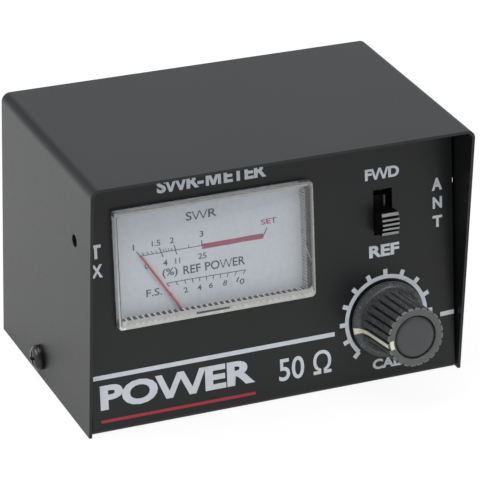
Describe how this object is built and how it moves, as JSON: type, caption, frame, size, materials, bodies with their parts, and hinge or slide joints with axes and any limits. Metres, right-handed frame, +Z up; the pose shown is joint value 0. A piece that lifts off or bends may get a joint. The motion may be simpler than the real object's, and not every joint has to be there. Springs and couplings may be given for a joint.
{
  "type": "swr meter",
  "caption": "Compact desktop SWR meter: folded black case with a hooded sloping panel, needle meter, slide switch and calibration knob, two coaxial sockets at the rear.",
  "frame": {"origin": "middle of the case floor's underside", "axes": "+X to the right seen from the front, +Y to the rear, +Z up"},
  "size_m": [0.1108, 0.0953, 0.0695],
  "materials": {
    "case_paint": "fine black powder coat",
    "screw_black": "black zinc",
    "lens_clear": "clear moulded acrylic",
    "dial_face": "satin silver-white print",
    "pointer_red": "red lacquer",
    "knob_plastic": "moulded, light texture",
    "switch_plastic": "moulded nylon",
    "housing_plastic": "moulded",
    "foam_tape": "double-sided tape",
    "plated_steel": "zinc plated",
    "soft_iron": "ground",
    "magnet_alloy": "ground",
    "brass_part": "turned",
    "copper_winding": "enamelled wire",
    "nickel_plate": "nickel plated",
    "phenolic": "laminate",
    "white_insulator": "moulded",
    "board_laminate": "glass laminate",
    "tinned": "tinned",
    "diode_glass": "glass",
    "component_ceramic": "dipped",
    "insulation_red": "vinyl",
    "insulation_white": "vinyl",
    "insulation_black": "vinyl"
  },
  "bodies": {
    "case": {"cover": "case_paint", "chassis": "case_paint", "cover_screws": "screw_black", "meter_lens": "lens_clear", "meter_tape": "foam_tape", "meter_housing": "housing_plastic", "meter_dial": "dial_face", "dial_screws": "plated_steel", "meter_frame": "brass_part", "meter_front_bridge": "brass_part", "bridge_screws": "plated_steel", "movement_screws": "plated_steel", "meter_yoke": "soft_iron", "meter_magnet": "magnet_alloy", "hairspring_front": "brass_part", "hairspring_rear": "brass_part", "jewel_screws": "brass_part", "meter_terminals": "brass_part", "switch_frame": "screw_black", "switch_base": "phenolic", "switch_terminals": "tinned", "pot_bushing": "plated_steel", "pot_case": "plated_steel", "pot_wafer": "phenolic", "pot_terminals": "tinned", "pot_washer": "plated_steel", "pot_nut": "plated_steel", "front_board": "board_laminate", "socket_screws": "nickel_plate", "socket_nuts": "plated_steel", "ground_lugs": "tinned", "coupler_board": "board_laminate", "diode_forward": "diode_glass", "diode_reflected": "diode_glass", "resistor_forward": "component_ceramic", "resistor_reflected": "component_ceramic", "capacitor_forward": "component_ceramic", "capacitor_reflected": "component_ceramic", "wire_forward": "insulation_red", "wire_reflected": "insulation_white", "wire_ground": "insulation_black", "wire_meter_plus": "insulation_red", "wire_meter_minus": "insulation_black", "tx_socket_body": "nickel_plate", "tx_socket_insulator": "white_insulator", "tx_socket_contact": "nickel_plate", "ant_socket_body": "nickel_plate", "ant_socket_insulator": "white_insulator", "ant_socket_contact": "nickel_plate"},
    "cal_control": {"cal_knob": "knob_plastic", "knob_cap": "knob_plastic", "pot_shaft": "brass_part", "pot_wiper": "phenolic", "pot_clip": "plated_steel"},
    "function_slider": {"switch_actuator": "switch_plastic", "switch_contacts": "copper_winding"},
    "movement": {"meter_pointer": "pointer_red", "meter_coil": "copper_winding", "meter_pivots": "plated_steel"}
  },
  "joints": [
    {"name": "cal_knob_turn", "type": "hinge", "parent": "case", "child": "cal_control", "pos_m": [0.03165, -0.0291, 0.01745], "axis": [0, 0.9887, -0.1499], "range_deg": [-36, 234]},
    {"name": "function_slide", "type": "slide", "parent": "case", "child": "function_slider", "axis": [0, 0.1499, 0.9887], "range_m": [0, 0.0044]},
    {"name": "pointer_swing", "type": "hinge", "parent": "case", "child": "movement", "pos_m": [-0.0186, -0.02894, 0.01854], "axis": [0, 0.9887, -0.1499], "range_deg": [-3, 69], "stiffness_Nm_per_rad": 0.0002}
  ]
}
